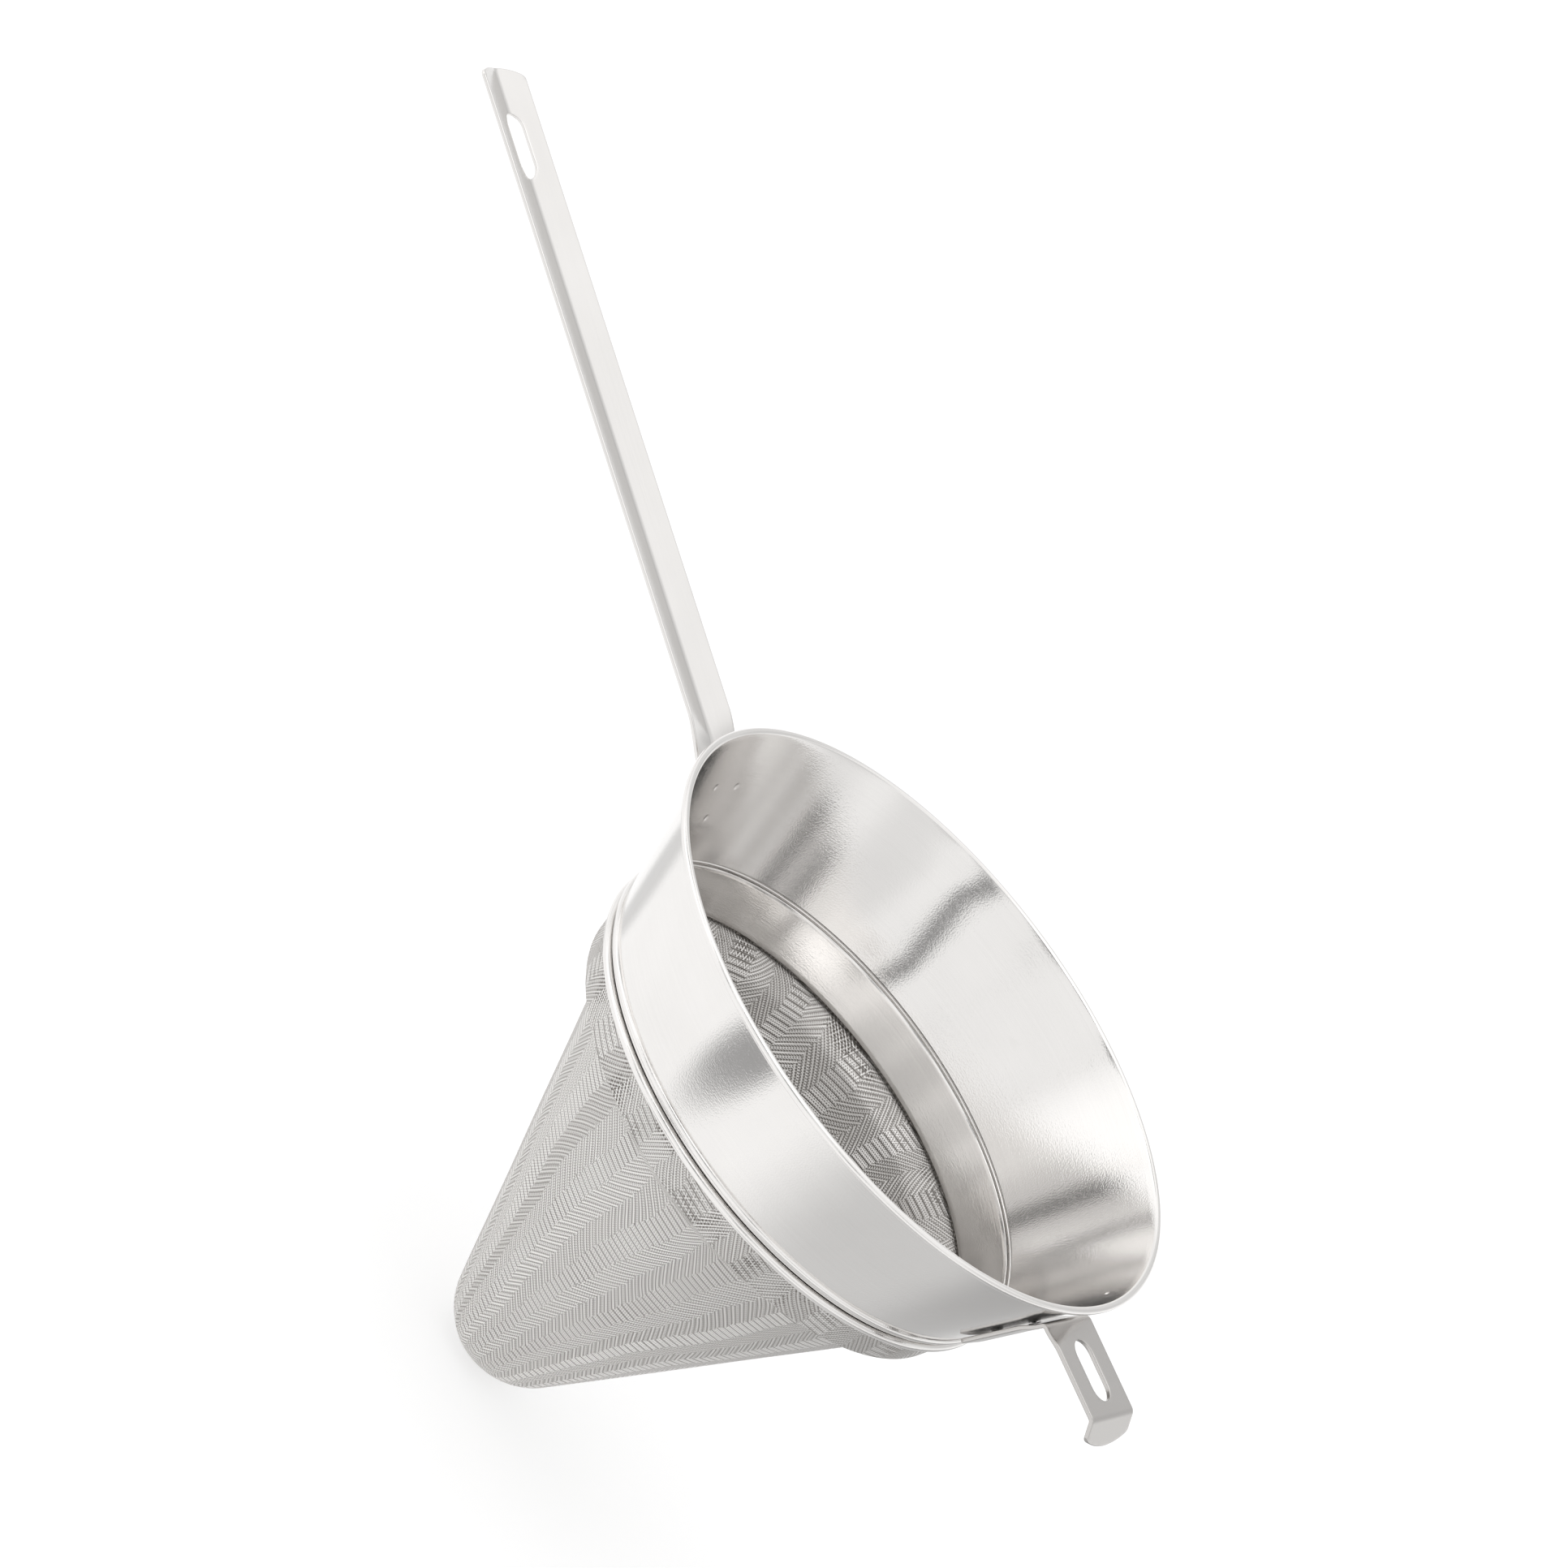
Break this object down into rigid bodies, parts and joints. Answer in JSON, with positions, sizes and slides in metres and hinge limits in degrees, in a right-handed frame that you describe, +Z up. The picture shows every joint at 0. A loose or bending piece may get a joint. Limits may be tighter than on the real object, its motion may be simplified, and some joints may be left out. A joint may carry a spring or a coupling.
{
  "type": "conical strainer",
  "caption": "Large conical bouillon strainer with a flared sheet-steel collar, a fine wire-mesh cone, a long trough handle with a hanging slot and a slotted pot hook.",
  "frame": {"origin": "centre of the mouth, in the plane of the top of the rolled rim", "axes": "+Z runs up the strainer's axis out of the mouth; +X points along the handle, away from the collar, and the pot hook is on the -X side"},
  "size_m": [0.5745, 0.26, 0.2925],
  "materials": {
    "collar_steel": "satin",
    "band_steel": "satin",
    "strip_steel": "soft polish",
    "wire_steel": "drawn wire",
    "woven_mesh": "fine woven wire",
    "weld_steel": "fused, dull"
  },
  "bodies": {
    "root": {"collar": "collar_steel", "rim_wire": "wire_steel", "inner_band": "band_steel", "clamp_hoop": "collar_steel", "mesh_cone": "woven_mesh", "handle": "strip_steel", "pot_hook": "strip_steel", "handle_weld_1": "weld_steel", "handle_weld_2": "weld_steel", "handle_weld_3": "weld_steel", "hook_weld_1": "weld_steel", "hook_weld_2": "weld_steel"}
  },
  "joints": []
}
